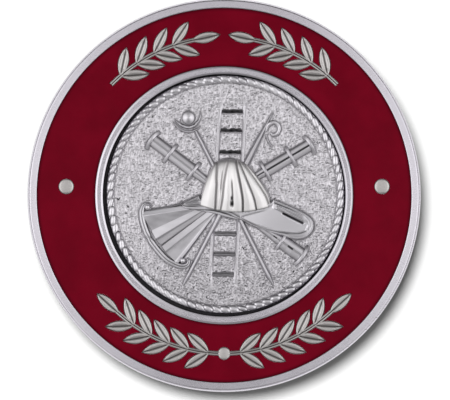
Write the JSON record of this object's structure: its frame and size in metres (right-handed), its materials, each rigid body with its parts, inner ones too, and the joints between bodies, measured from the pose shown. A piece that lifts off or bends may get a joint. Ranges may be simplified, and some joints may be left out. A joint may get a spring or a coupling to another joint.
{
  "type": "insignia pin",
  "caption": "Round insignia pin with a dark red enamel ring between polished rims, metal leaf sprays, a rope-edged seal of firefighting tools in relief, and a pin fastening on its back.",
  "frame": {"origin": "on the surface that the badge lies on, under the centre of its round outline", "axes": "+Z out of the face, towards a viewer of the badge; +Y to the top of the badge as worn; +X to its right as seen from the front"},
  "size_m": [0.0318, 0.0318, 0.0066],
  "materials": {
    "plated_metal": "polished",
    "red_enamel": "gloss",
    "struck_metal": "stippled ground with polished relief",
    "pin_metal": "satin"
  },
  "bodies": {
    "root": {"badge_body": "plated_metal", "enamel": "red_enamel", "seal": "struck_metal", "pin_bar": "pin_metal"}
  },
  "joints": []
}
